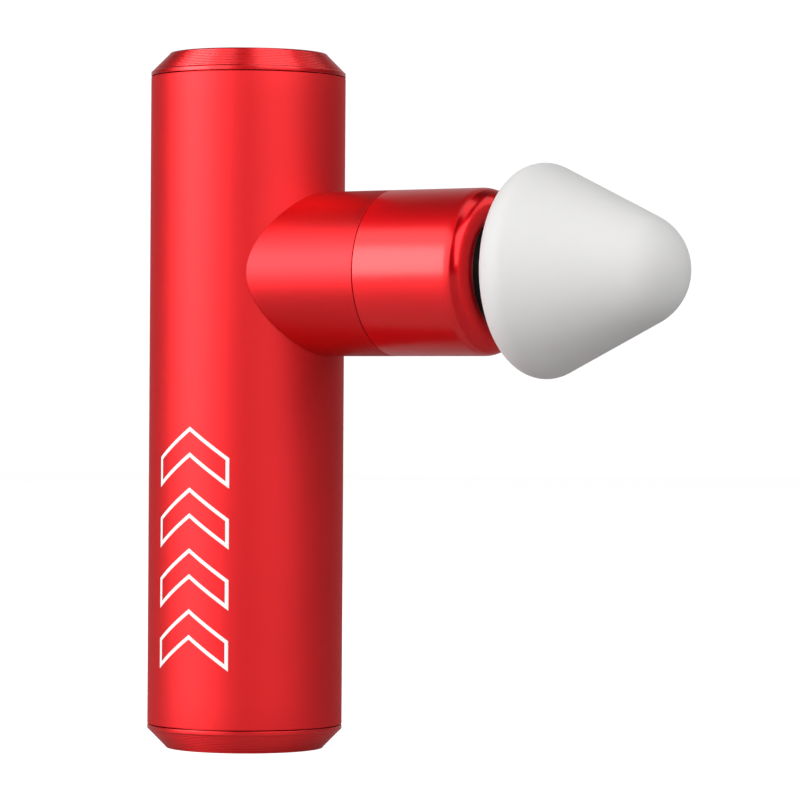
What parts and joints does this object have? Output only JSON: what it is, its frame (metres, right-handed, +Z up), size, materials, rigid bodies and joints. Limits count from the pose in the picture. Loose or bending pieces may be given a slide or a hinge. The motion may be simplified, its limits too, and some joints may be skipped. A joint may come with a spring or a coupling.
{
  "type": "massage gun",
  "caption": "Small percussion massage gun: upright round handle with a short side arm whose plunger drives a soft rounded-cone head; removable head, end button, charging socket.",
  "frame": {"origin": "centre of the flat base of the bottom cap, on the tube's axis", "axes": "+Z up the tube, +X along the arm towards the head"},
  "size_m": [0.1219, 0.0424, 0.1426],
  "materials": {
    "matt_red_aluminium": "matt bead-blasted and anodised red",
    "polished_red_aluminium": "polished and anodised red",
    "silicone": "matt soft-touch silicone",
    "black_rubber": "matt",
    "black_plastic": "fine moulded texture",
    "grey_plastic": "fine moulded texture",
    "clear_plastic": "frosted light guide",
    "circuit_board": "solder mask",
    "bright_steel": "ground",
    "dark_steel": "blackened",
    "bronze": "sintered",
    "copper": "enamelled wire",
    "nickel": "nickel-plated strip",
    "cell_wrap": "shrink wrap over a can",
    "bare_aluminium": "machined",
    "foam": "closed-cell foam"
  },
  "bodies": {
    "handle": {"body_tube": "matt_red_aluminium", "bottom_cap": "matt_red_aluminium", "top_cap": "matt_red_aluminium", "arm_collar": "matt_red_aluminium", "arm_sleeve": "polished_red_aluminium", "bottom_cap_seal": "black_rubber", "top_cap_seal": "black_rubber", "button_return_ring": "black_rubber", "vibration_ring": "black_rubber", "front_dust_seal": "black_rubber", "tact_switch": "black_plastic", "guide_housing": "black_plastic", "battery_holder": "black_plastic", "controller_chip": "black_plastic", "motor_driver_chip": "black_plastic", "usb_tongue": "black_plastic", "button_lead": "black_plastic", "motor_lead": "black_plastic", "motor_chassis": "grey_plastic", "battery_connector": "grey_plastic", "light_ring": "clear_plastic", "charge_light_pipe": "clear_plastic", "button_board": "circuit_board", "control_board": "circuit_board", "charge_board": "circuit_board", "plate_screw_1": "bright_steel", "plate_screw_2": "bright_steel", "plate_screw_3": "bright_steel", "plate_screw_4": "bright_steel", "lower_bearing": "bright_steel", "upper_bearing": "bright_steel", "usb_socket": "bright_steel", "joint_ring": "dark_steel", "stator_core": "dark_steel", "guide_bush": "bronze", "stator_windings": "copper", "positive_lead": "copper", "negative_lead": "copper", "series_tab": "nickel", "positive_tab": "nickel", "negative_tab": "nickel", "battery_cell_left": "cell_wrap", "battery_cell_right": "cell_wrap", "motor_plate": "bare_aluminium", "smoothing_capacitor": "bare_aluminium", "battery_foam_pad": "foam"},
    "rotor": {"motor_bell": "bright_steel", "magnet_ring": "dark_steel", "motor_shaft": "bright_steel", "crank_disc": "dark_steel", "crank_pin": "bright_steel", "crank_roller": "bright_steel"},
    "plunger": {"plunger_yoke": "bare_aluminium", "plunger_rod": "bare_aluminium"},
    "head": {"massage_head": "silicone", "head_core": "grey_plastic", "stem_ring_rear": "black_rubber", "stem_ring_front": "black_rubber"},
    "button": {"power_button": "matt_red_aluminium"}
  },
  "joints": [
    {"name": "rotor_spin", "type": "hinge", "parent": "handle", "child": "rotor", "pos_m": [0, 0, 0.0971], "axis": [0, 0, 1], "range_deg": [-90, 90]},
    {"name": "plunger_stroke", "type": "slide", "parent": "handle", "child": "plunger", "axis": [1, 0, 0], "range_m": [-0.0035, 0.0035]},
    {"name": "head_pull_off", "type": "slide", "parent": "plunger", "child": "head", "axis": [1, 0, 0], "range_m": [0, 0.022]},
    {"name": "button_press", "type": "slide", "parent": "handle", "child": "button", "axis": [0, 0, -1], "range_m": [0, 0.0005], "stiffness_N_per_m": 2000}
  ],
  "couplings": [
    {"joint": "plunger_stroke", "follows": "rotor_spin", "m_per_rad": 0.0022282}
  ]
}
